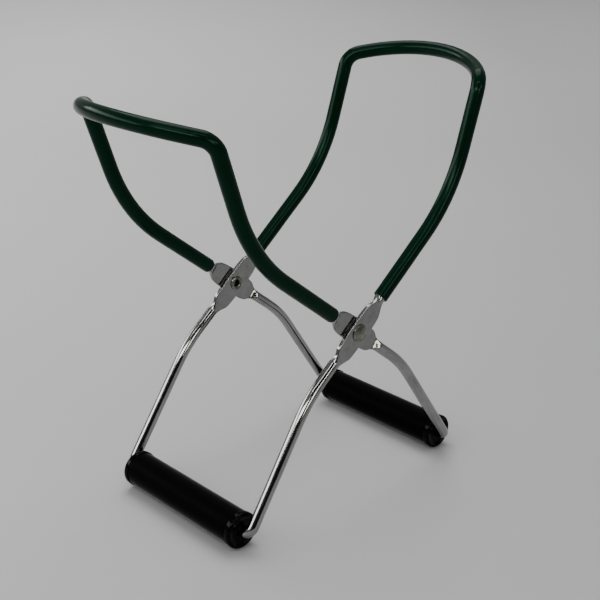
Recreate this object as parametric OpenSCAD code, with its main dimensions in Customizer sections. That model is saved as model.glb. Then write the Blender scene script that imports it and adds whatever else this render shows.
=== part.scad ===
// Canning jar lifter: two bent wire halves riveted like scissors, with soft
// coated jaws above and roller handles below. Millimetres, +Z up.
// Origin: on the floor, midway between the handles and the two pivots.
// X is the way the jaws open, Y is the pivot axis.
// Half A carries the handle at -X and the jaw at +X. Half B is the same
// half turned 180 degrees about Z. Left is +Y, right is -Y.

/* [Wire] */
// Diameter of the bare wire
wire_d = 4.8; // [4:0.1:5.6]
// Distance between the centre lines of the two sides of one half
frame_w = 80; // [70:1:95]

/* [Legs] */
// Slope of the straight that runs through the pivot, from the floor
pivot_slope = 39; // [34:0.5:44]
// Slope of the lower part of a leg
leg_slope = 56; // [52:0.5:62]
// Distance from the pivot to the knee's corner point
knee_at = 37.4; // [36:0.1:44]
// Bend radius of the knee
knee_r = 60; // [40:1:64]
// How much further apart the legs stand at the handle, on each side
splay = 0.9; // [0:0.1:2]
// Height of the pivot axis above the handle axis
pivot_rise = 73; // [70:0.1:90]
// Bend radius where a leg turns into its handle
hook_r = 4; // [3.6:0.1:5]

/* [Jaws] */
// Distance from the pivot to the arm bend's corner point
arm_bend_at = 75; // [72:0.1:84]
// Bend radius of the arm
arm_r = 74; // [50:1:76]
// Slope of the upper part of an arm
arm_slope = 71.8; // [66:0.1:78]
// Straight distance from the arm bend's corner point to the jaw corner
arm_top = 51.8; // [48:0.1:62]
// Bend radius of the jaw corners
corner_r = 8.5; // [7:0.1:8.7]
// Bend radius of the bowed jaw bar
bar_r = 50.4; // [46:0.1:50.6]
// How far the bar's tangent point stands out from the jaw corners
bar_out = 41; // [40.5:0.1:42]
// Upward tilt of the bowed jaw bar
bar_tilt = 16.5; // [10:0.5:25]

/* [Coating] */
// Thickness of the soft coating
coat_t = 0.85; // [0.6:0.05:1.2]
// Distance from the pivot to the end of the coating
coat_from = 18.4; // [18.2:0.1:26]

/* [Pivots] */
// Length of the flattened paddle at a pivot
tab_l = 33; // [32:0.5:34]
// Width of the paddle at the rivet
tab_w = 10.8; // [9.6:0.1:12]
// Thickness of the paddle
tab_t = 1.9; // [1.6:0.05:1.95]
// Distance from the pivot at which the flat of the paddle ends
flat_to = 14.3; // [13.5:0.1:14.5]
// Length of the forged ramp from the flat to the round wire
ramp_l = 3.3; // [2.6:0.1:3.4]
// Shank diameter of a rivet
rivet_d = 4.8; // [4:0.1:5]
// Head diameter of a rivet
rivet_head_d = 7.8; // [7.2:0.1:9]
// Height of a rivet head
rivet_head_h = 1.5; // [1.2:0.1:2]
// Diameter of the rolled end of a rivet
rivet_tail_d = 6.6; // [6.2:0.1:7.4]
// Height of the rolled end of a rivet
rivet_tail_h = 0.9; // [0.7:0.1:1.2]
// Diameter of the hole in the rolled end
rivet_hole_d = 3.2; // [2.6:0.1:3.4]
// Depth of the hole in the rolled end
rivet_hole_l = 3; // [2:0.1:3.6]

/* [Handles] */
// Diameter of a handle tube
tube_d = 15.6; // [14.8:0.1:16]
// Wall thickness of a handle tube
tube_wall = 1.8; // [1.4:0.1:2.2]
// Diameter of a handle end cap
cap_d = 16.4; // [16:0.1:17.6]
// Length of a cap outside its tube
cap_l = 3; // [2.5:0.1:6]
// Edge rounding of a cap
cap_edge_r = 2; // [1:0.1:2.4]
// Length of a cap inside its tube
plug_l = 9; // [6:0.5:12]
// How far a wire end reaches into its handle
wire_in = 16; // [13:0.5:22]

/* [Fits] */
// Radial clearance of a handle cap on its wire end
cap_play = 0.05; // [0.03:0.01:0.08]
// Radial clearance of the turning paddle on its rivet
pivot_play = 0.04; // [0.03:0.01:0.06]
// Gap between the wire bend and the end of a handle
end_play = 0.3; // [0.2:0.05:0.5]
// Gap between the rivet and the turning paddle's face
face_play = 0.05; // [0.03:0.01:0.08]

/* [View] */
// Which sub-part to draw

/* [Hidden] */
$fn = 96;
eps = 0.01;
wire_r = wire_d / 2;
coat_r = wire_r + coat_t;
coat_lip = 0.5;
half_w = frame_w / 2;
handle_r = max(tube_d, cap_d) / 2;
pivot_z = handle_r + pivot_rise;
// The wires of both halves lie in one plane, so each paddle steps aside
gap = 0.1;
tab_shift = (tab_t + gap) / 2;
edge = 0.4;
// Straights run this far into the bends they meet
lap = 0.1;
// and are this much thinner than them, so the two join cleanly
step = 0.005;

// Profile points of half A, seen along Y, measured from the pivot axis
knee = -knee_at * [cos(pivot_slope), sin(pivot_slope)];
leg_drop = pivot_rise + knee[1];
handle_x = knee[0] - leg_drop / tan(leg_slope);
arm_bend = arm_bend_at * [cos(pivot_slope), sin(pivot_slope)];
jaw = arm_bend + arm_top * [cos(arm_slope), sin(arm_slope)];
bar_tip = jaw + bar_out * [cos(bar_tilt), sin(bar_tilt)];
tab_half = tab_l / 2;
tab_tip_w = wire_d - 0.6;
side_curve_r = 62;
shoulder_at = tab_half - 5;
shoulder_w = 9.2;
ramp_to = flat_to + ramp_l;
ramp_sink = 0.2;

// Handle end faces, measured from the middle of the frame
hook_w = half_w + splay;
handle_end = hook_w - hook_r - end_play;

// A profile point p placed on side s: +1 left, -1 right, 0 middle
function at(p, s) = [p[0], s * half_w, p[1]];
function along(d) = d * [cos(pivot_slope), sin(pivot_slope)];
function unit(v) = v / norm(v);

// One leg of half A, from inside its handle up to the paddle
function leg_path(s) = [
    [handle_x, s * (handle_end - wire_in), -pivot_rise],
    [handle_x, s * hook_w, -pivot_rise],
    at(knee, s),
    at(along(-ramp_to - lap), s)];
leg_bends = [0, hook_r, knee_r, 0];

// The jaw of half A, starting d from the pivot on both sides
function jaw_path(d) = [
    at(along(d), -1),
    at(arm_bend, -1),
    at(jaw, -1),
    at(bar_tip, 0),
    at(jaw, 1),
    at(arm_bend, 1),
    at(along(d), 1)];
jaw_bends = [0, arm_r, corner_r, bar_r, corner_r, arm_r, 0];

// Length of straight taken up by the bend at point i of a path
function cut(p, r, i) = r[i] == 0 ? 0 :
    r[i] * tan(acos(unit(p[i] - p[i - 1]) * unit(p[i + 1] - p[i])) / 2);

// Straight round bar between two points, bored when core is not zero
module rod(a, b, r, core) {
    d = b - a;
    l = norm(d) + 2 * lap;
    translate(a)
        rotate([0, acos(d[2] / norm(d)), atan2(d[1], d[0])])
            translate([0, 0, -lap])
                difference() {
                    cylinder(h = l, r = r - step);
                    if (core > 0)
                        translate([0, 0, -eps])
                            cylinder(h = l + 2 * eps, r = core + step);
                }
}

// Bend of radius rb at corner p, between the unit directions u and w
module bend(p, u, w, rb, r, core) {
    turn = acos(u * w);
    n = unit(w - (w * u) * u);
    k = cross(u, n);
    c = p - u * rb * tan(turn / 2) + n * rb;
    multmatrix([
        [-n[0], u[0], k[0], c[0]],
        [-n[1], u[1], k[1], c[1]],
        [-n[2], u[2], k[2], c[2]],
        [0, 0, 0, 1]])
        rotate_extrude(angle = turn)
            translate([rb, 0])
                difference() {
                    circle(r = r);
                    if (core > 0)
                        circle(r = core);
                }
}

// Bent wire or tube through the points p with the bend radii rb
module run(p, rb, r, core) {
    last = len(p) - 1;
    for (i = [0 : last - 1]) {
        d = unit(p[i + 1] - p[i]);
        rod(p[i] + d * cut(p, rb, i), p[i + 1] - d * cut(p, rb, i + 1), r, core);
    }
    for (i = [1 : last - 1])
        bend(p[i], unit(p[i] - p[i - 1]), unit(p[i + 1] - p[i]), rb[i], r, core);
}

// Round wire that thins into the paddle, x runs away from the pivot and
// y across the thickness
module ramp() {
    inner = -tab_shift + tab_t / 2 - ramp_sink;
    outer = -tab_shift - tab_t / 2 + ramp_sink;
    thick = wire_r + ramp_sink;
    start = flat_to - ramp_sink;
    intersection() {
        translate([start, 0, 0])
            rotate([0, 90, 0])
                cylinder(h = ramp_to + 2 * lap - start, r = wire_r);
        translate([0, 0, -thick])
            linear_extrude(height = 2 * thick)
                polygon([
                    [start - ramp_sink, outer],
                    [ramp_to, -thick],
                    [ramp_to + 1, -thick],
                    [ramp_to + 1, thick],
                    [ramp_to, thick],
                    [start - ramp_sink, inner]]);
    }
}

// Flattened oval paddle around the pivot, with the rivet hole through it
module paddle(hole_r) {
    bow = side_curve_r - tab_w / 2;
    translate([0, -tab_shift, 0])
        rotate([90, 0, 0])
            difference() {
                intersection() {
                    translate([0, bow, -tab_t / 2])
                        cylinder(h = tab_t, r = side_curve_r);
                    translate([0, -bow, -tab_t / 2])
                        cylinder(h = tab_t, r = side_curve_r);
                    translate([0, 0, -tab_t / 2])
                        linear_extrude(height = tab_t)
                            polygon([
                                [-tab_half, -tab_tip_w / 2],
                                [-shoulder_at, -shoulder_w / 2],
                                [0, -tab_w],
                                [shoulder_at, -shoulder_w / 2],
                                [tab_half, -tab_tip_w / 2],
                                [tab_half, tab_tip_w / 2],
                                [shoulder_at, shoulder_w / 2],
                                [0, tab_w],
                                [-shoulder_at, shoulder_w / 2],
                                [-tab_half, tab_tip_w / 2]]);
                }
                translate([0, 0, -tab_t])
                    cylinder(h = 2 * tab_t, r = hole_r);
            }
}

// Paddle and both ramps, on side s
module pivot_tab(s, hole_r) {
    translate([0, s * half_w, 0])
        rotate([0, -pivot_slope, 0]) {
            paddle(hole_r);
            ramp();
            mirror([1, 0, 0])
                ramp();
        }
}

// One whole bent wire. hole_r is the radius of its rivet holes
module wire_frame(hole_r) {
    translate([0, 0, pivot_z]) {
        run(jaw_path(ramp_to + lap), jaw_bends, wire_r, 0);
        run(leg_path(1), leg_bends, wire_r, 0);
        run(leg_path(-1), leg_bends, wire_r, 0);
        pivot_tab(1, hole_r);
        pivot_tab(-1, hole_r);
    }
}

// Short cone that rounds off the end of the coating, on side s
module coat_end(s) {
    translate([0, s * half_w, 0])
        rotate([0, 90 - pivot_slope, 0])
            translate([0, 0, coat_from])
                difference() {
                    union() {
                        cylinder(h = coat_lip, r1 = coat_r - coat_lip,
                            r2 = coat_r);
                        translate([0, 0, coat_lip])
                            cylinder(h = 2 * lap, r = coat_r);
                    }
                    translate([0, 0, -eps])
                        cylinder(h = coat_lip + 2 * lap + 2 * eps, r = wire_r);
                }
}

// Soft coating over one jaw
module grip_coating() {
    translate([0, 0, pivot_z]) {
        run(jaw_path(coat_from + coat_lip + lap), jaw_bends, coat_r, wire_r);
        coat_end(1);
        coat_end(-1);
    }
}

// Rivet along +Y: head outside, rolled end inside. It is fast in the
// paddle on its tight side and turns in the other one.
// start is the inner face of the pair, tail_gap and head_gap the two plays
module rivet(tail_gap, head_gap) {
    stack = 2 * tab_t + gap;
    head_r = rivet_head_d / 2;
    dome_r = (head_r * head_r + rivet_head_h * rivet_head_h)
        / (2 * rivet_head_h);
    rotate([-90, 0, 0]) {
        difference() {
            translate([0, 0, -tail_gap - rivet_tail_h])
                cylinder(h = tail_gap + rivet_tail_h + stack + head_gap + eps,
                    r = rivet_d / 2);
            translate([0, 0, -tail_gap - rivet_tail_h - eps])
                cylinder(h = rivet_hole_l, r = rivet_hole_d / 2);
        }
        difference() {
            translate([0, 0, -tail_gap - rivet_tail_h])
                cylinder(h = rivet_tail_h, r1 = rivet_tail_d / 2 - edge,
                    r2 = rivet_tail_d / 2);
            translate([0, 0, -tail_gap - rivet_tail_h - eps])
                cylinder(h = rivet_tail_h + 2 * eps, r = rivet_d / 2 - eps);
        }
        intersection() {
            translate([0, 0, stack + head_gap + rivet_head_h - dome_r])
                sphere(r = dome_r);
            translate([0, 0, stack + head_gap])
                cylinder(h = rivet_head_h + eps, r = head_r);
        }
    }
}

// Handle tube on half A
module handle_tube() {
    l = 2 * (handle_end - cap_l);
    translate([handle_x, 0, handle_r])
        rotate([90, 0, 0])
            difference() {
                cylinder(h = l, r = tube_d / 2, center = true);
                cylinder(h = l + 1, r = tube_d / 2 - tube_wall, center = true);
            }
}

// End cap on half A, on side s: rounded knob outside, plug in the tube
module handle_cap(s) {
    r = cap_d / 2;
    flat_r = r - cap_edge_r;
    plug_r = tube_d / 2 - tube_wall;
    translate([handle_x, s * handle_end, handle_r])
        rotate([s * 90, 0, 0])
            difference() {
                union() {
                    rotate_extrude()
                        translate([flat_r, cap_edge_r])
                            intersection() {
                                circle(r = cap_edge_r);
                                translate([0, -cap_edge_r])
                                    square(cap_edge_r);
                            }
                    cylinder(h = cap_edge_r, r = flat_r);
                    translate([0, 0, cap_edge_r])
                        cylinder(h = cap_l - cap_edge_r, r = r);
                    translate([0, 0, cap_l])
                        cylinder(h = plug_l, r = plug_r);
                }
                translate([0, 0, -eps])
                    cylinder(h = cap_l + plug_l + 2 * eps,
                        r = wire_r + cap_play);
            }
}

// Everything on half B is half A's shape turned half round
module turned() {
    rotate([0, 0, 180])
        children();
}

module wire_frame_a() {
    color("Silver")
        wire_frame(rivet_d / 2);
}

module wire_frame_b() {
    color("LightSteelBlue")
        turned()
            wire_frame(rivet_d / 2 + pivot_play);
}

module grip_coating_a() {
    color("DarkGreen")
        grip_coating();
}

module grip_coating_b() {
    color("ForestGreen")
        turned()
            grip_coating();
}

// Left pivot: half A's paddle is the inner one
module rivet_left() {
    color("Gainsboro")
        translate([0, half_w - tab_t - gap / 2, pivot_z])
            rivet(0, face_play);
}

// Right pivot: half A's paddle is the outer one
module rivet_right() {
    color("Gainsboro")
        translate([0, tab_t + gap / 2 - half_w, pivot_z])
            mirror([0, 1, 0])
                rivet(face_play, 0);
}

module handle_tube_a() {
    color("DimGray")
        handle_tube();
}

module handle_tube_b() {
    color("DimGray")
        turned()
            handle_tube();
}

module handle_cap_a_left() {
    color("Black")
        handle_cap(1);
}

module handle_cap_a_right() {
    color("Black")
        handle_cap(-1);
}

// Turning half round swaps left and right
module handle_cap_b_left() {
    color("Black")
        turned()
            handle_cap(-1);
}

module handle_cap_b_right() {
    color("Black")
        turned()
            handle_cap(1);
}

wire_frame_a();
wire_frame_b();
grip_coating_a();
grip_coating_b();
rivet_left();
rivet_right();
handle_tube_a();
handle_tube_b();
handle_cap_a_left();
handle_cap_a_right();
handle_cap_b_left();
handle_cap_b_right();
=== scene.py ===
"""Looks of a canning jar lifter: two bent wire halves riveted like scissors,
with dipped green jaws above and black roller handles below.

Lengths of the pieces are millimetres in the part's own frame, the same as
in its CAD source, and MM turns them into metres where a mesh is written.
Lights, camera and material scales are in metres.
"""
import math

import bmesh
import bpy
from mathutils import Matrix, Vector, noise


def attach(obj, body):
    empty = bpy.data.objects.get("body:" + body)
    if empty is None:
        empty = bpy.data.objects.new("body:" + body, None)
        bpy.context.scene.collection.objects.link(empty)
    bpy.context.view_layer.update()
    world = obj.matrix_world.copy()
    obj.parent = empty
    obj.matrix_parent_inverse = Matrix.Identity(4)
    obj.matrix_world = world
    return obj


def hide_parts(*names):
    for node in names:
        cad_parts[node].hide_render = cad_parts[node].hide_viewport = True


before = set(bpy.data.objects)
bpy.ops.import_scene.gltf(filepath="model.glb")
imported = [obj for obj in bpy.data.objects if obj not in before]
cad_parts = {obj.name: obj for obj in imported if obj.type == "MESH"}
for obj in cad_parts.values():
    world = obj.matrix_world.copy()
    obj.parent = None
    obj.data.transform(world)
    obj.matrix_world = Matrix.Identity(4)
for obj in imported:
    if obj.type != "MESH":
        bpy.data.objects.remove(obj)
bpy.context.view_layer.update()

MM = 0.001

# --- wire, seen along Y, half A ---
WIRE_R = 2.4
WIRE_SIDES = 60
WIRE_STEP = 2.0
HALF_W = 40.0
PIVOT_Z = 81.2
PIVOT_SLOPE = 39.0
LEG_SLOPE = 56.0
KNEE_AT = 37.4
KNEE_R = 60.0
HANDLE_Z = 8.2
HOOK_W = 40.9
HOOK_R = 4.0
ARM_BEND_AT = 75.0
ARM_R = 74.0
ARM_SLOPE = 71.8
ARM_TOP = 51.8
CORNER_R = 8.5
BAR_R = 50.4
BAR_OUT = 41.0
BAR_TILT = 16.5
# --- paddles at the pivots ---
PADDLE_R = 0.95
PADDLE_SHIFT = 1.0
PADDLE_EDGE_R = 0.5
PADDLE_REACH = 20.0
PADDLE_STEP = 0.3
PIN_HOLE_R = 2.44
LAP_GAP = 2 * (PADDLE_SHIFT - PADDLE_R)
FLAT_TO = 13.7
RAMP_TO = 17.8
# (distance from the pivot, half width)
PADDLE_WIDTHS = [(0, 5.4), (4, 5.36), (8, 5.14), (10.2, 4.9), (11.6, 4.55),
                 (12.8, 3.9), (13.8, 3.25), (15.0, 2.7), (16.2, 2.45),
                 (17.5, 2.4), (30, 2.4)]
# --- rivets ---
SHANK_R = 2.4
HEAD_R = 3.9
HEAD_H = 1.5
HEAD_RIM = 0.42
RIVET_GAP = 0.05
RIVET_SIDES = 48
# --- coating ---
COAT_R = 3.25
COAT_FROM = 18.4
COAT_EDGE_R = 0.65
COAT_SIDES = 48
COAT_STEP = 1.2
COAT_END_REACH = 4.0
COAT_END_STEP = 0.12
COAT_LINING_GAP = 0.02
# How far the dip wanders from round, and how quickly along the wire
COAT_WAVE = 0.05
COAT_WAVE_SCALE = 0.06
COAT_PHASE_B = 31.0
# --- handles ---
TUBE_R = 7.8
TUBE_BORE_R = 6.0
TUBE_BORE_GAP = 0.1
TUBE_SOFT_R = 0.7
TUBE_END_GAP = 0.03
TUBE_WAVE = 0.03
TUBE_WAVE_SCALE = 0.08
TUBE_PHASE_B = 5.0
CAP_R = 8.2
CAP_L = 3.0
CAP_ROUND_R = 1.25
CAP_BORE_GAP = 0.05
CAP_PLUG_GAP = 0.03
CAP_PLUG_END = 11.5
CAP_CHAMFER = 0.3
HANDLE_END = 36.6
HANDLE_SIDES = 96
WIRE_IN = 16.0


# ---------------------------------------------------------------- paths
def on_slope(dist, slope, origin=(0.0, 0.0)):
    """(x, z) at dist along a line of that slope from origin."""
    a = math.radians(slope)
    return origin[0] + dist * math.cos(a), origin[1] + dist * math.sin(a)


def half_points():
    """Corner points of half A's wire, measured from the pivot axis."""
    knee = on_slope(-KNEE_AT, PIVOT_SLOPE)
    drop = PIVOT_Z - HANDLE_Z
    handle_x = knee[0] - (drop + knee[1]) / math.tan(math.radians(LEG_SLOPE))
    arm = on_slope(ARM_BEND_AT, PIVOT_SLOPE)
    jaw = on_slope(ARM_TOP, ARM_SLOPE, arm)
    tip = on_slope(BAR_OUT, BAR_TILT, jaw)
    return {"knee": knee, "handle": (handle_x, -drop), "arm": arm,
            "jaw": jaw, "tip": tip}


POINTS = half_points()
HANDLE_X = POINTS["handle"][0]


def at(name, y):
    """That corner of half A, at width y."""
    x, z = POINTS[name]
    return Vector((x, y, z + PIVOT_Z))


def along_pivot(dist, side):
    """Point on half A's straight stretch, dist beyond that side's pivot."""
    x, z = on_slope(dist, PIVOT_SLOPE)
    return Vector((x, side * HALF_W, z + PIVOT_Z))


def bent_path(points, radii, step):
    """Samples (position, tangent) of a path with filleted corners."""
    out = []
    cursor = points[0]
    for i in range(1, len(points)):
        u = (points[i] - points[i - 1]).normalized()
        cut = 0.0
        if i < len(points) - 1:
            w = (points[i + 1] - points[i]).normalized()
            turn = u.angle(w)
            cut = radii[i] * math.tan(turn / 2)
        stop = points[i] - u * cut
        length = (stop - cursor).length
        count = max(2, math.ceil(length / step))
        for k in range(count):
            out.append((cursor + u * length * k / count, u))
        if i == len(points) - 1:
            out.append((stop, u))
            break
        n = (w - u * w.dot(u)).normalized()
        centre = stop + n * radii[i]
        count = max(4, math.ceil(math.degrees(turn) / 3.0))
        for k in range(count):
            a = turn * k / count
            out.append((centre - n * radii[i] * math.cos(a)
                        + u * radii[i] * math.sin(a),
                        u * math.cos(a) + n * math.sin(a)))
        cursor = centre - n * radii[i] * math.cos(turn) \
            + u * radii[i] * math.sin(turn)
    return out


def densify(samples, centres, reach, step):
    """Adds samples where a straight passes near one of the centres."""
    out = []
    for i, (p, t) in enumerate(samples[:-1]):
        q = samples[i + 1][0]
        out.append((p, t))
        near = any((p - c).length < reach or (q - c).length < reach
                   for c in centres)
        if near:
            parts = max(1, math.ceil((q - p).length / step))
            for k in range(1, parts):
                out.append((p.lerp(q, k / parts), t))
    out.append(samples[-1])
    return out


def carried_axes(samples, starts):
    """A thickness axis per sample, carried along from +Y at the starts."""
    axes = [None] * len(samples)
    order = sorted(range(len(samples)),
                   key=lambda i: min(abs(i - s) for s in starts))
    for i in order:
        t = samples[i][1]
        if i in starts:
            guide = Vector((0, 1, 0))
        else:
            near = min(starts, key=lambda s: abs(i - s))
            guide = axes[i - 1 if near < i else i + 1]
        axes[i] = (guide - t * guide.dot(t)).normalized()
    return axes


# ---------------------------------------------------------------- meshes
def new_mesh(name, verts, faces, uvs, material, groups=None):
    """Mesh object from millimetres, smooth, with one UV per vertex."""
    mesh = bpy.data.meshes.new(name)
    mesh.from_pydata([(x * MM, y * MM, z * MM) for x, y, z in verts],
                     [], faces)
    layer = mesh.uv_layers.new(name="UVMap")
    for loop in mesh.loops:
        layer.data[loop.index].uv = uvs[loop.vertex_index]
    for label, values in (groups or {}).items():
        attr = mesh.attributes.new(label, "FLOAT", "POINT")
        attr.data.foreach_set("value", values)
    mesh.polygons.foreach_set("use_smooth", [True] * len(mesh.polygons))
    mesh.materials.append(material)
    mesh.validate()
    obj = bpy.data.objects.new(name, mesh)
    bpy.context.scene.collection.objects.link(obj)
    return obj


def fix_normals(obj):
    """Turns every face outwards."""
    bm = bmesh.new()
    bm.from_mesh(obj.data)
    bmesh.ops.recalc_face_normals(bm, faces=bm.faces)
    bm.to_mesh(obj.data)
    bm.free()


def drill(obj, centre, radius, depth=6.0, count=48):
    """Cuts a round hole along Y through obj at centre."""
    ring = [(centre[0] + radius * math.cos(2 * math.pi * k / count),
             centre[2] + radius * math.sin(2 * math.pi * k / count))
            for k in range(count)]
    verts = [(x, centre[1] + y, z) for y in (-depth, depth) for x, z in ring]
    faces = [(k, (k + 1) % count, (k + 1) % count + count, k + count)
             for k in range(count)]
    faces += [tuple(range(count)), tuple(range(count, 2 * count))]
    cutter = new_mesh("cutter", verts, faces, [(0, 0)] * len(verts),
                      obj.data.materials[0], {"forged": [1.0] * len(verts)})
    fix_normals(cutter)
    mod = obj.modifiers.new("hole", "BOOLEAN")
    mod.operation = "DIFFERENCE"
    mod.solver = "EXACT"
    mod.object = cutter
    graph = bpy.context.evaluated_depsgraph_get()
    cut = bpy.data.meshes.new_from_object(obj.evaluated_get(graph))
    obj.modifiers.remove(mod)
    whole, obj.data = obj.data, cut
    cut.name = obj.name
    bpy.data.meshes.remove(whole)
    bpy.data.objects.remove(cutter)


def weighted(obj):
    """Keeps flat faces flat under smooth shading."""
    mod = obj.modifiers.new("normals", "WEIGHTED_NORMAL")
    mod.keep_sharp = True
    return obj


def best_shift(a, b):
    """How far ring b is turned against ring a."""
    n = len(a)
    probes = range(0, n, max(1, n // 6))
    return min(range(n), key=lambda s: sum(
        (a[k] - b[(k + s) % n]).length_squared for k in probes))


def loft(rings, closed=False):
    """Vertices and quads through rings, open-ended or closed on itself."""
    n = len(rings[0])
    verts = [tuple(v) for ring in rings for v in ring]
    faces = []
    last = len(rings) if closed else len(rings) - 1
    for i in range(last):
        j = (i + 1) % len(rings)
        s = best_shift(rings[i], rings[j])
        for k in range(n):
            m = (k + 1) % n
            faces.append((i * n + k, i * n + m,
                          j * n + (m + s) % n, j * n + (k + s) % n))
    return verts, faces


def section(w, h, r, count):
    """Rounded rectangle of half sizes w and h. A circle when all match."""
    flat_w, flat_h = math.radians(13), math.radians(7)
    pts = []
    for k in range(count):
        a = 2 * math.pi * k / count
        up = math.pi / 2 - abs(((a + math.pi) % (2 * math.pi)) - math.pi)
        fx = max(-1.0, min(1.0, up / flat_w))
        side = math.asin(max(-1.0, min(1.0, math.sin(a))))
        fy = max(-1.0, min(1.0, side / flat_h))
        pts.append(((w - r) * fx + r * math.cos(a),
                    (h - r) * fy + r * math.sin(a)))
    return pts


def eased(x, table):
    """Smooth curve through a table of (x, value)."""
    def slope(i):
        i0, i1 = max(i - 1, 0), min(i + 1, len(table) - 1)
        if i in (0, len(table) - 1):
            return 0.0
        return (table[i1][1] - table[i0][1]) / (table[i1][0] - table[i0][0])
    for i in range(len(table) - 1):
        (x0, v0), (x1, v1) = table[i], table[i + 1]
        if x <= x1:
            gap = x1 - x0
            t = max(0.0, (x - x0) / gap)
            a, b = slope(i) * gap, slope(i + 1) * gap
            return (v0 * (2 * t ** 3 - 3 * t ** 2 + 1)
                    + a * (t ** 3 - 2 * t ** 2 + t)
                    + v1 * (3 * t ** 2 - 2 * t ** 3)
                    + b * (t ** 3 - t ** 2))
    return table[-1][1]


def smooth(x):
    """Eased step from 0 to 1."""
    x = max(0.0, min(1.0, x))
    return x * x * (3 - 2 * x)


def turn_half(v):
    """Turns a point half round about Z, from half A to half B."""
    return Vector((-v[0], -v[1], v[2]))


# ---------------------------------------------------------------- pieces
def wire(name, half_b, material):
    """One bent wire with its two forged paddles."""
    count = WIRE_SIDES
    ends = HANDLE_END - WIRE_IN
    points = [at("handle", ends), at("handle", HOOK_W), at("knee", HALF_W),
              at("arm", HALF_W), at("jaw", HALF_W), at("tip", 0),
              at("jaw", -HALF_W), at("arm", -HALF_W), at("knee", -HALF_W),
              at("handle", -HOOK_W), at("handle", -ends)]
    radii = [0, HOOK_R, KNEE_R, ARM_R, CORNER_R, BAR_R, CORNER_R, ARM_R,
             KNEE_R, HOOK_R, 0]
    pivots = [along_pivot(0, 1), along_pivot(0, -1)]
    samples = bent_path(points, radii, WIRE_STEP)
    samples = densify(samples, pivots, PADDLE_REACH, PADDLE_STEP)
    starts = [min(range(len(samples)),
                  key=lambda i: (samples[i][0] - p).length) for p in pivots]
    axes = carried_axes(samples, starts)
    rings, uvs, forged = [], [], []
    run = 0.0
    for i, (p, t) in enumerate(samples):
        if i:
            run += (p - samples[i - 1][0]).length
        pivot = min(pivots, key=lambda c: (p - c).length)
        u = (p - pivot).length
        flat = 1 - smooth((u - FLAT_TO) / (RAMP_TO - FLAT_TO))
        w = eased(u, PADDLE_WIDTHS)
        h = WIRE_R + (PADDLE_R - WIRE_R) * flat
        r = min(h, w, WIRE_R + (PADDLE_EDGE_R - WIRE_R) * flat)
        ey = axes[i]
        ew = t.cross(ey)
        ring = [p + ew * a + ey * (b - PADDLE_SHIFT * flat)
                for a, b in section(w, h, r, count)]
        rings.append(ring)
        uvs += [(run * MM, k / count) for k in range(count)]
        forged += [flat] * count
    verts, faces = loft(rings)
    n = len(rings)
    faces.append(tuple(range(count))[::-1])
    faces.append(tuple((n - 1) * count + k for k in range(count)))
    if half_b:
        verts = [turn_half(v) for v in verts]
    obj = new_mesh(name, verts, faces, uvs, material, {"forged": forged})
    fix_normals(obj)
    for pivot in pivots:
        drill(obj, pivot, PIN_HOLE_R)
    return weighted(obj)


def coating(name, half_b, material):
    """Dipped sleeve over one jaw: a closed tube with soft ends."""
    count = COAT_SIDES
    start, stop = along_pivot(COAT_FROM, 1), along_pivot(COAT_FROM, -1)
    points = [start, at("arm", HALF_W), at("jaw", HALF_W), at("tip", 0),
              at("jaw", -HALF_W), at("arm", -HALF_W), stop]
    radii = [0, ARM_R, CORNER_R, BAR_R, CORNER_R, ARM_R, 0]
    samples = bent_path(points, radii, COAT_STEP)
    samples = densify(samples, [start, stop], COAT_END_REACH, COAT_END_STEP)
    axes = carried_axes(samples, [0, len(samples) - 1])
    total = [0.0]
    for i in range(1, len(samples)):
        total.append(total[-1] + (samples[i][0] - samples[i - 1][0]).length)
    rings, uvs = [], []
    phase = Vector((COAT_PHASE_B if half_b else 0.0, 0, 0))
    for inner in (False, True):
        order = range(len(samples))
        for i in (reversed(order) if inner else order):
            p, t = samples[i]
            ends = min(total[i], total[-1] - total[i])
            ey = axes[i]
            ew = t.cross(ey)
            if inner:
                radius = WIRE_R + COAT_LINING_GAP
            else:
                back = max(0.0, COAT_EDGE_R - ends)
                radius = COAT_R - COAT_EDGE_R + math.sqrt(
                    max(0.0, COAT_EDGE_R ** 2 - back ** 2))
            ring = []
            for k in range(count):
                a = 2 * math.pi * k / count
                d = ew * math.cos(a) + ey * math.sin(a)
                wave = 0.0
                if not inner:
                    q = (p + d * COAT_R) * COAT_WAVE_SCALE + phase
                    wave = COAT_WAVE * noise.noise(q) * smooth(ends / 3)
                ring.append(p + d * (radius + wave))
            rings.append(ring)
            uvs += [(total[i] * MM, k / count) for k in range(count)]
    verts, faces = loft(rings, closed=True)
    if half_b:
        verts = [turn_half(v) for v in verts]
    obj = new_mesh(name, verts, faces, uvs, material)
    fix_normals(obj)
    return obj


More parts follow.
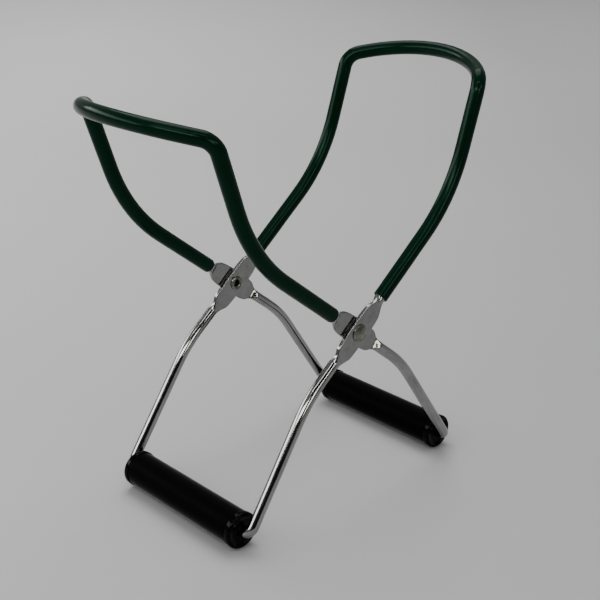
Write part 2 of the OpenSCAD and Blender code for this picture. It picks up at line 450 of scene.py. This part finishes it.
def lathe(name, profile, place, material, count, closed=False, painted_shade_points=0):
    """Turns (axial, radius) points about Y. place maps (a, x, z) to mm.
    Points of zero radius close the ends. The bore points at the start of the
    profile, counted by the last argument, get a mask of painted shade."""
    rings, verts, faces, uvs = [], [], [], []
    run = 0.0
    for i, (a, r) in enumerate(profile):
        if i:
            run += math.dist(profile[i], profile[i - 1])
        if r == 0:
            rings.append([len(verts)])
            verts.append(place(a, 0.0, 0.0))
            uvs.append((run * MM, 0.0))
            continue
        rings.append(list(range(len(verts), len(verts) + count)))
        for k in range(count):
            c = 2 * math.pi * k / count
            verts.append(place(a, r * math.cos(c), r * math.sin(c)))
            uvs.append((run * MM, k / count))
    pairs = list(zip(rings, rings[1:]))
    if closed:
        pairs.append((rings[-1], rings[0]))
    for one, two in pairs:
        for k in range(count):
            m = (k + 1) % count
            if len(one) == 1:
                faces.append((one[0], two[m], two[k]))
            elif len(two) == 1:
                faces.append((one[k], one[m], two[0]))
            else:
                faces.append((one[k], one[m], two[m], two[k]))
    # Painted shade: the bore points get 1 in the bore mask, which the material
    # paints dark.
    bore = [0.0] * len(verts)
    for ring in rings[:painted_shade_points]:
        for i in ring:
            bore[i] = 1.0
    obj = new_mesh(name, verts, faces, uvs, material,
                   {"bore": bore} if painted_shade_points else None)
    fix_normals(obj)
    return weighted(obj)


def arc(ca, cr, radius, a0, a1, steps):
    """Profile points on an arc about (ca, cr), angles in degrees."""
    out = []
    for k in range(steps + 1):
        a = math.radians(a0 + (a1 - a0) * k / steps)
        out.append((ca + radius * math.cos(a), cr + radius * math.sin(a)))
    return out


def rivet(name, start_y, side, tail_gap, head_gap, material):
    """Semi-tubular rivet. side is the way its head points along Y, and its
    profile is measured from the inner face of the inner paddle."""
    rise = HEAD_H - HEAD_RIM
    dome = (HEAD_R ** 2 + rise ** 2) / (2 * rise)
    tail = -tail_gap
    base = 4 * PADDLE_R + LAP_GAP + head_gap
    # The bore, whose points get painted shade in the material.
    bore = [(2.1, 0), (2.1, 1.2), (1.9, 1.5), (tail - 0.3, 1.55)]
    lip = [(-0.62, 1.75), (-0.82, 2.05), (-0.9, 2.4), (-0.82, 2.8),
           (-0.6, 3.1), (-0.3, 3.27), (-0.08, 3.3), (0, 3.2)]
    profile = bore + [(tail + a, r) for a, r in lip]
    profile += [(tail, SHANK_R), (base, SHANK_R), (base, HEAD_R - 0.12),
                (base + 0.1, HEAD_R), (base + HEAD_RIM, HEAD_R)]
    edge = math.asin((HEAD_R - 0.08) / dome)
    centre = base + HEAD_H - dome
    steps = 12
    for k in range(steps):
        a = edge * (1 - k / steps)
        profile.append((centre + dome * math.cos(a), dome * math.sin(a)))
    profile.append((centre + dome, 0))
    return lathe(name, profile,
                 lambda a, x, z: (x, start_y + side * a, z + PIVOT_Z),
                 material, RIVET_SIDES, painted_shade_points=len(bore))


def handle_tube(name, half_b, material):
    """Moulded roller sleeve with softened ends."""
    end = HANDLE_END - CAP_L - TUBE_END_GAP
    soft = TUBE_SOFT_R
    phase = TUBE_PHASE_B if half_b else 0.0
    profile = [(-end, TUBE_BORE_R + TUBE_BORE_GAP), (-end, TUBE_R - soft)]
    profile += arc(-end + soft, TUBE_R - soft, soft, 180, 90, 6)[1:]
    steps = 24
    for k in range(1, steps):
        a = -end + soft + (2 * end - 2 * soft) * k / steps
        wave = noise.noise(Vector((a * TUBE_WAVE_SCALE, phase, 0)))
        profile.append((a, TUBE_R + TUBE_WAVE * wave))
    profile += arc(end - soft, TUBE_R - soft, soft, 90, 0, 6)
    profile += [(end, TUBE_BORE_R + TUBE_BORE_GAP)]
    sign = -1 if half_b else 1
    return lathe(name, profile,
                 lambda a, x, z: (sign * (HANDLE_X + x), sign * a,
                                  z + HANDLE_Z),
                 material, HANDLE_SIDES, closed=True)


def handle_cap(name, half_b, side, material):
    """Glossy end plug: round-edged flange, dished face, hub round the wire.
    Axial 0 is the outer face, growing into the handle."""
    bore = WIRE_R + CAP_BORE_GAP
    plug = TUBE_BORE_R - CAP_PLUG_GAP
    profile = [(CAP_PLUG_END, bore), (0.9, bore), (0.75, bore + 0.15),
               (0.72, 3.2), (0.8, 3.55), (1.0, 3.75), (1.05, 4.1),
               (1.0, 5.2), (0.8, 5.9), (0.45, 6.3), (0.15, 6.55),
               (0.03, 6.8)]
    profile += arc(CAP_ROUND_R, CAP_R - CAP_ROUND_R, CAP_ROUND_R,
                   172, 90, 9)
    profile += [(CAP_L - 0.35, CAP_R), (CAP_L - 0.1, CAP_R - 0.08),
                (CAP_L, CAP_R - CAP_CHAMFER), (CAP_L, plug),
                (CAP_PLUG_END - CAP_CHAMFER, plug),
                (CAP_PLUG_END, TUBE_BORE_R - CAP_CHAMFER)]
    sign = -1 if half_b else 1
    return lathe(name, profile,
                 lambda a, x, z: (sign * (HANDLE_X + x),
                                  side * (HANDLE_END - a), z + HANDLE_Z),
                 material, HANDLE_SIDES, closed=True)


# ------------------------------------------------------------- materials
class Nodes:
    """Small helper to wire up a Principled material."""

    def __init__(self, name):
        self.mat = bpy.data.materials.new(name)
        self.mat.use_nodes = True
        self.tree = self.mat.node_tree
        self.bsdf = self.tree.nodes["Principled BSDF"]
        self.coord = self.tree.nodes.new("ShaderNodeTexCoord")

    def put(self, socket, value):
        self.bsdf.inputs[socket].default_value = value

    def link(self, out, socket):
        self.tree.links.new(out, socket)

    def mapped(self, scale, source):
        node = self.tree.nodes.new("ShaderNodeMapping")
        node.inputs["Scale"].default_value = scale
        self.link(self.coord.outputs[source], node.inputs["Vector"])
        return node.outputs["Vector"]

    def noise(self, scale, detail, rough, vector=None):
        node = self.tree.nodes.new("ShaderNodeTexNoise")
        node.inputs["Scale"].default_value = scale
        node.inputs["Detail"].default_value = detail
        node.inputs["Roughness"].default_value = rough
        self.link(vector or self.coord.outputs["Object"],
                  node.inputs["Vector"])
        return node.outputs["Fac"]

    def ramp(self, fac, stops):
        node = self.tree.nodes.new("ShaderNodeValToRGB")
        ramp = node.color_ramp
        while len(ramp.elements) < len(stops):
            ramp.elements.new(0.5)
        for element, (pos, colour) in zip(ramp.elements, stops):
            element.position = pos
            element.color = (*colour, 1.0)
        self.link(fac, node.inputs["Fac"])
        return node.outputs["Color"]

    def span(self, fac, low, high, start=0.3, stop=0.7):
        node = self.tree.nodes.new("ShaderNodeMapRange")
        for key, value in zip(("From Min", "From Max", "To Min", "To Max"),
                              (start, stop, low, high)):
            node.inputs[key].default_value = value
        self.link(fac, node.inputs["Value"])
        return node.outputs["Result"]

    def math(self, op, a, b):
        node = self.tree.nodes.new("ShaderNodeMath")
        node.operation = op
        for i, value in enumerate((a, b)):
            if isinstance(value, (int, float)):
                node.inputs[i].default_value = value
            else:
                self.link(value, node.inputs[i])
        return node.outputs[0]

    def mix(self, fac, a, b):
        node = self.tree.nodes.new("ShaderNodeMix")
        node.data_type = "RGBA"
        self.link(fac, node.inputs["Factor"])
        for key, value in ((6, a), (7, b)):
            if isinstance(value, tuple):
                node.inputs[key].default_value = (*value, 1.0)
            else:
                self.link(value, node.inputs[key])
        return node.outputs[2]

    def attribute(self, name):
        node = self.tree.nodes.new("ShaderNodeAttribute")
        node.attribute_name = name
        return node.outputs["Fac"]

    def bump(self, height, strength, distance, below=None):
        node = self.tree.nodes.new("ShaderNodeBump")
        node.inputs["Strength"].default_value = strength
        node.inputs["Distance"].default_value = distance
        self.link(height, node.inputs["Height"])
        if below is not None:
            self.link(below, node.inputs["Normal"])
        return node.outputs["Normal"]

    def normal(self, out):
        self.link(out, self.bsdf.inputs["Normal"])


def chrome_wire():
    """Plated steel, bright where drawn and duller where forged flat."""
    m = Nodes("plated_wire")
    m.put("Metallic", 1.0)
    cloud = m.noise(70.0, 4.0, 0.6)
    stain = m.noise(330.0, 4.0, 0.65)
    drawn = m.noise(1.0, 2.0, 0.6, m.mapped((40.0, 55.0, 1.0), "UV"))
    streaks = m.noise(1.0, 4.0, 0.7, m.mapped((160.0, 16.0, 1.0), "UV"))
    forged = m.attribute("forged")
    mottle = m.math("MULTIPLY", m.math("ADD", cloud, streaks), 0.5)
    bright = m.ramp(mottle, [(0.34, (0.20, 0.205, 0.20)),
                             (0.5, (0.285, 0.29, 0.285)),
                             (0.66, (0.34, 0.345, 0.34))])
    matt = m.ramp(stain, [(0.28, (0.20, 0.205, 0.20)),
                          (0.5, (0.25, 0.255, 0.25)),
                          (0.75, (0.285, 0.29, 0.283))])
    m.link(m.mix(forged, bright, matt), m.bsdf.inputs["Base Color"])
    rough = m.span(cloud, 0.08, 0.13)
    dull = m.span(stain, 0.10, 0.20)
    step = m.math("SUBTRACT", dull, rough)
    rough = m.math("ADD", rough, m.math("MULTIPLY", step, forged))
    m.link(rough, m.bsdf.inputs["Roughness"])
    ramp_zone = m.math("MULTIPLY", forged, m.math("SUBTRACT", 1.0, forged))
    dents = m.math("MULTIPLY", m.noise(700.0, 2.0, 0.5), ramp_zone)
    lines = m.bump(drawn, 0.015, 0.00003)
    pressed = m.bump(m.math("MULTIPLY", stain, forged), 0.04, 0.00010, lines)
    m.normal(m.bump(dents, 0.6, 0.0008, pressed))
    return m.mat


def rivet_steel():
    """Plain steel, with painted shade in the bore."""
    m = Nodes("rivet_steel")
    cloud = m.noise(420.0, 4.0, 0.6)
    specks = m.noise(2600.0, 2.0, 0.7)
    bare = m.ramp(cloud, [(0.32, (0.11, 0.112, 0.09)),
                          (0.62, (0.25, 0.253, 0.21))])
    # Painted shade: inside the bore the colour is near black and the metal is
    # turned off.
    bore = m.attribute("bore")
    m.link(m.mix(bore, bare, (0.02, 0.02, 0.017)),
           m.bsdf.inputs["Base Color"])
    m.link(m.math("SUBTRACT", 1.0, bore), m.bsdf.inputs["Metallic"])
    m.link(m.span(specks, 0.14, 0.24), m.bsdf.inputs["Roughness"])
    m.normal(m.bump(cloud, 0.25, 0.00012))
    return m.mat


def green_vinyl():
    """Smooth dark green dip."""
    m = Nodes("green_coating")
    cloud = m.noise(55.0, 4.0, 0.6)
    peel = m.noise(650.0, 2.0, 0.5)
    rub = m.noise(190.0, 5.0, 0.7)
    m.link(m.ramp(cloud, [(0.25, (0.0005, 0.0140, 0.0066)),
                          (0.55, (0.0008, 0.0190, 0.0092)),
                          (0.8, (0.0014, 0.0260, 0.0130))]),
           m.bsdf.inputs["Base Color"])
    m.link(m.span(rub, 0.14, 0.24), m.bsdf.inputs["Roughness"])
    m.put("Specular IOR Level", 0.09)
    m.put("Specular Tint", (0.55, 1.0, 0.80, 1.0))
    waves = m.bump(peel, 0.10, 0.00006)
    m.normal(m.bump(cloud, 0.25, 0.0006, waves))
    return m.mat


def black_sleeve():
    """Matt black sleeve with a faint soft rim."""
    m = Nodes("handle_black")
    cloud = m.noise(80.0, 4.0, 0.6)
    grain = m.noise(2200.0, 3.0, 0.6)
    m.link(m.ramp(cloud, [(0.3, (0.0003, 0.0003, 0.0004)),
                          (0.7, (0.0009, 0.0009, 0.0011))]),
           m.bsdf.inputs["Base Color"])
    m.link(m.span(cloud, 0.42, 0.54), m.bsdf.inputs["Roughness"])
    m.put("Specular IOR Level", 0.01)
    m.put("Sheen Weight", 0.50)
    m.put("Sheen Roughness", 0.28)
    m.normal(m.bump(grain, 0.25, 0.00005))
    return m.mat


def black_cap():
    """Glossy black plastic."""
    m = Nodes("cap_black")
    cloud = m.noise(160.0, 4.0, 0.6)
    m.link(m.ramp(cloud, [(0.3, (0.0004, 0.0004, 0.0006)),
                          (0.7, (0.0012, 0.0012, 0.0016))]),
           m.bsdf.inputs["Base Color"])
    m.link(m.span(cloud, 0.06, 0.11), m.bsdf.inputs["Roughness"])
    m.put("Specular IOR Level", 0.06)
    m.normal(m.bump(cloud, 0.3, 0.0002))
    return m.mat


def floor_paper():
    """Pale paper with painted light: lighter on one side of the part, and
    lighter far behind it.
    """
    m = Nodes("floor")
    cloud = m.noise(3.0, 4.0, 0.5)

    def along(x, y):
        node = m.tree.nodes.new("ShaderNodeVectorMath")
        node.operation = "DOT_PRODUCT"
        m.link(m.coord.outputs["Object"], node.inputs[0])
        node.inputs[1].default_value = (x, y, 0.0)
        return node.outputs["Value"]

    # Painted light: the paper's colour is lighter on one side of the part and
    # lighter again far behind it.
    painted_light_across = m.span(along(0.72, -0.69), 0.83, 0.54, -0.28, 0.28)
    back = m.span(along(0.69, 0.72), 1.0, 1.15, 0.6, 1.4)
    # The floor's grain value carries both the paper's faint grain and the
    # painted light.
    grain = m.math("MULTIPLY", m.span(cloud, 0.985, 1.015),
                   m.math("MULTIPLY", painted_light_across, back))
    pale = m.tree.nodes.new("ShaderNodeCombineColor")
    for channel in ("Red", "Green", "Blue"):
        m.link(grain, pale.inputs[channel])
    m.link(pale.outputs["Color"], m.bsdf.inputs["Base Color"])
    m.put("Roughness", 0.7)
    m.put("Specular IOR Level", 0.1)
    return m.mat


# ------------------------------------------------------------------ build
CHROME = chrome_wire()
STEEL = rivet_steel()
VINYL = green_vinyl()
SLEEVE = black_sleeve()
CAP = black_cap()


def place(piece, body, node, slot):
    """Says what a piece rides on and which node it replaces. The slot argument
    is not used.
    """
    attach(piece, body)
    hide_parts(node)


for letter in "ab":
    half_b = letter == "b"
    half, roller = "half_" + letter, "handle_" + letter
    place(wire("wire_" + letter, half_b, CHROME), half,
          "wire_frame_" + letter, "plated_wire")
    place(coating("jaw_coating_" + letter, half_b, VINYL), half,
          "grip_coating_" + letter, "green_coating")
    place(handle_tube("roller_" + letter, half_b, SLEEVE), roller,
          "handle_tube_" + letter, "handle_black")
    for word, side in (("left", 1), ("right", -1)):
        place(handle_cap(f"end_plug_{letter}_{word}", half_b, side, CAP),
              roller, f"handle_cap_{letter}_{word}", "cap_black")

# Each rivet is tight on half A's paddle and has a gap on half B's.
INNER_FACE = HALF_W - PADDLE_SHIFT - PADDLE_R
place(rivet("pivot_rivet_left", INNER_FACE, 1, 0.0, RIVET_GAP, STEEL),
      "half_a", "rivet_left", "rivet_steel")
place(rivet("pivot_rivet_right", -INNER_FACE, -1, RIVET_GAP, 0.0, STEEL),
      "half_a", "rivet_right", "rivet_steel")


# ------------------------------------------------------- floor and light
def disc(name, radius, material):
    """Flat round sheet at floor height, radius in millimetres."""
    count = 128
    verts = [(0, 0, 0)]
    faces = []
    for k in range(count):
        a = 2 * math.pi * k / count
        verts.append((radius * math.cos(a), radius * math.sin(a), 0))
        faces.append((0, k + 1, (k + 1) % count + 1))
    return new_mesh(name, verts, faces, [(0, 0)] * len(verts), material)


FLOOR_R = 6000.0
disc("floor", FLOOR_R, floor_paper())


def direction(azimuth, elevation):
    """Unit vector from the part toward that direction, in degrees."""
    a, e = math.radians(azimuth), math.radians(elevation)
    return Vector((math.cos(e) * math.cos(a), math.cos(e) * math.sin(a),
                   math.sin(e)))


def softbox(name, azimuth, elevation, distance, size, radiance,
            tint=(1, 1, 1), lights=True, shines=True):
    """Rectangle light seen from the part's middle at that direction.
    It can light surfaces, show in reflections, or both."""
    data = bpy.data.lights.new(name, "AREA")
    data.shape = "RECTANGLE"
    data.size, data.size_y = size
    data.energy = radiance * math.pi * size[0] * size[1]
    data.color = tint
    lamp = bpy.data.objects.new(name, data)
    lamp.location = MIDDLE + distance * direction(azimuth, elevation)
    way = MIDDLE - lamp.location
    lamp.rotation_euler = way.to_track_quat("-Z", "Y").to_euler()
    lamp.visible_diffuse = lights
    lamp.visible_glossy = shines
    bpy.context.scene.collection.objects.link(lamp)
    return lamp


MIDDLE = Vector((0.0, 0.0, 0.09))
softbox("left_wall", 134, 24, 1.9, (2.6, 0.55), 5.5, lights=False)
softbox("window", 202, 37, 2.0, (1.2, 0.45), 8.0, lights=False)
softbox("main", 48, 62, 1.6, (1.2, 1.2), 3.0)
softbox("fill", 172, 45, 1.9, (1.5, 1.5), 1.0, shines=False)
softbox("lamp", 258, 17, 2.2, (0.5, 0.4), 7.0, (1.0, 0.98, 0.86),
        lights=False)
softbox("tube_one", 222, 64, 2.1, (2.0, 0.17), 6.5, lights=False)
softbox("tube_two", 273, 28, 2.3, (1.6, 0.15), 13.0, (1.0, 0.97, 0.90),
        lights=False)


# Azimuth and elevation of the middle of the dark room
DARK_ROOM_AT = (235, 30)


def studio_world():
    """Even pale surroundings. Reflections see a pale ceiling and a dark
    room behind the camera."""
    world = bpy.data.worlds.new("studio")
    bpy.context.scene.world = world
    world.use_nodes = True
    tree = world.node_tree

    def node(kind, **values):
        made = tree.nodes.new(kind)
        for key, value in values.items():
            setattr(made, key, value)
        return made

    def span(source, numbers):
        made = node("ShaderNodeMapRange", interpolation_type="SMOOTHSTEP")
        for key, value in zip(("From Min", "From Max", "To Min", "To Max"),
                              numbers):
            made.inputs[key].default_value = value
        tree.links.new(source, made.inputs["Value"])
        return made.outputs["Result"]

    coord = node("ShaderNodeTexCoord")
    parts = node("ShaderNodeSeparateXYZ")
    tree.links.new(coord.outputs["Generated"], parts.inputs[0])
    toward = node("ShaderNodeVectorMath", operation="DOT_PRODUCT")
    tree.links.new(coord.outputs["Generated"], toward.inputs[0])
    toward.inputs[1].default_value = direction(*DARK_ROOM_AT)
    ceiling = span(parts.outputs["Z"], (0.0, 0.9, 0.24, 0.34))
    room = span(toward.outputs["Value"], (0.60, 0.93, 1.0, 0.03))
    seen = node("ShaderNodeMath", operation="MULTIPLY")
    tree.links.new(ceiling, seen.inputs[0])
    tree.links.new(room, seen.inputs[1])

    back = tree.nodes["Background"]
    back.inputs["Color"].default_value = (0.985, 1.0, 0.99, 1)
    back.inputs["Strength"].default_value = 0.375
    gloss = node("ShaderNodeBackground")
    gloss.inputs["Color"].default_value = (0.985, 1.0, 0.98, 1)
    tree.links.new(seen.outputs[0], gloss.inputs["Strength"])
    path = node("ShaderNodeLightPath")
    mix = node("ShaderNodeMixShader")
    tree.links.new(path.outputs["Is Glossy Ray"], mix.inputs[0])
    tree.links.new(back.outputs[0], mix.inputs[1])
    tree.links.new(gloss.outputs[0], mix.inputs[2])
    out = tree.nodes["World Output"]
    tree.links.new(mix.outputs[0], out.inputs["Surface"])


studio_world()

# ----------------------------------------------------------------- camera
CAM_AT = Vector((-0.3385, -0.3616, 0.2876))
CAM_AZIMUTH, CAM_DOWN = 46.468, 22.364
CAM_LENS = 72.05
lens = bpy.data.cameras.new("camera")
lens.sensor_width = 36.0
lens.lens = CAM_LENS
lens.clip_start, lens.clip_end = 0.01, 50.0
camera = bpy.data.objects.new("camera", lens)
camera.location = CAM_AT
look = direction(CAM_AZIMUTH, -CAM_DOWN)
camera.rotation_euler = look.to_track_quat("-Z", "Y").to_euler()
bpy.context.scene.collection.objects.link(camera)
bpy.context.scene.camera = camera
